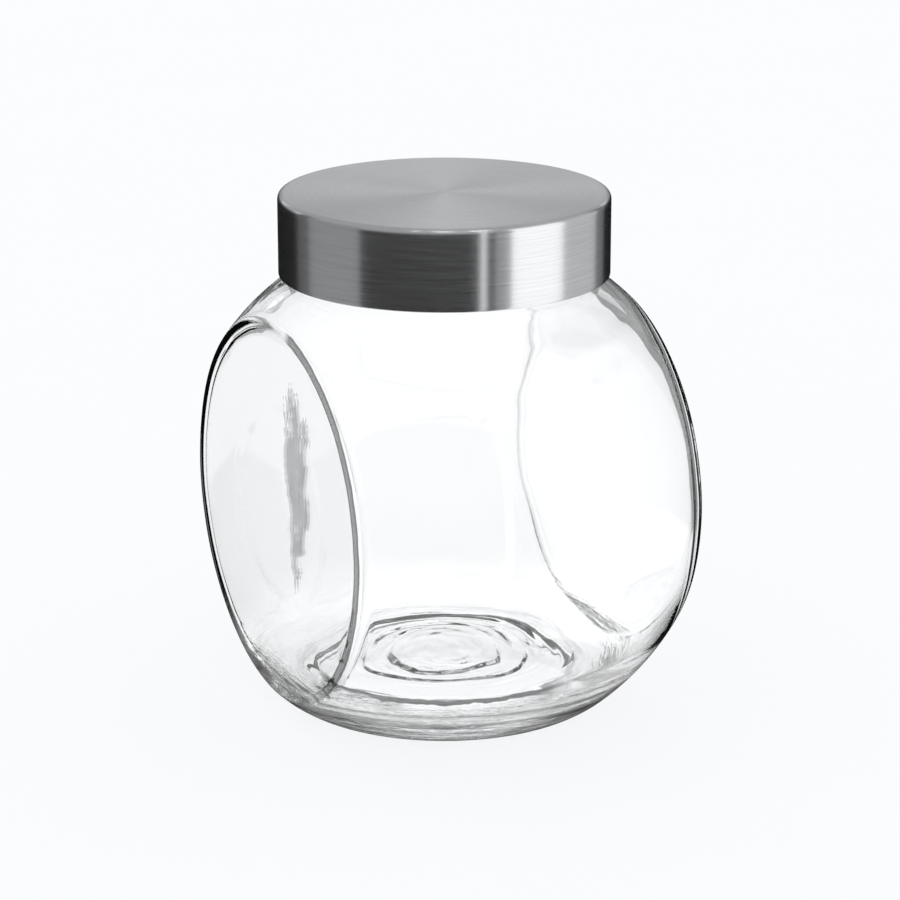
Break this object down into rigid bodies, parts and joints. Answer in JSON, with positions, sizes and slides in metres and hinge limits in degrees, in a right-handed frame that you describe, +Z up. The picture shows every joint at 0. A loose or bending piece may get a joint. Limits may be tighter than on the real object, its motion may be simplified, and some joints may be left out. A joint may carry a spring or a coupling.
{
  "type": "storage jar",
  "caption": "Clear glass storage jar, round with flat sides, closed by a brushed steel screw lid with a threaded plastic insert and a soft sealing ring.",
  "frame": {"origin": "centre of the base, on the surface the jar stands on", "axes": "+Z up along the jar's axis, +X square to one flat side, +Y towards one round side"},
  "size_m": [0.1254, 0.1806, 0.1739],
  "materials": {
    "glass": "clear soda-lime glass, fire-polished, faintly wavy",
    "brushed_steel": "stainless sheet, spun brushing on top and brushing round the skirt",
    "white_plastic": "moulded white polypropylene, satin",
    "silicone": "translucent soft silicone"
  },
  "bodies": {
    "jar": {"glass_jar": "glass"},
    "seal": {"seal_ring": "silicone"},
    "lid": {"lid_shell": "brushed_steel", "lid_insert": "white_plastic"}
  },
  "joints": [
    {"name": "lid_lift", "type": "slide", "parent": "jar", "child": "seal", "axis": [0, 0, 1], "range_m": [0, 0.048]},
    {"name": "lid_turn", "type": "hinge", "parent": "seal", "child": "lid", "pos_m": [0, 0, 0.16], "axis": [0, 0, 1], "range_deg": [0, 1440]}
  ],
  "couplings": [
    {"joint": "lid_lift", "follows": "lid_turn", "m_per_rad": 0.0019098}
  ]
}
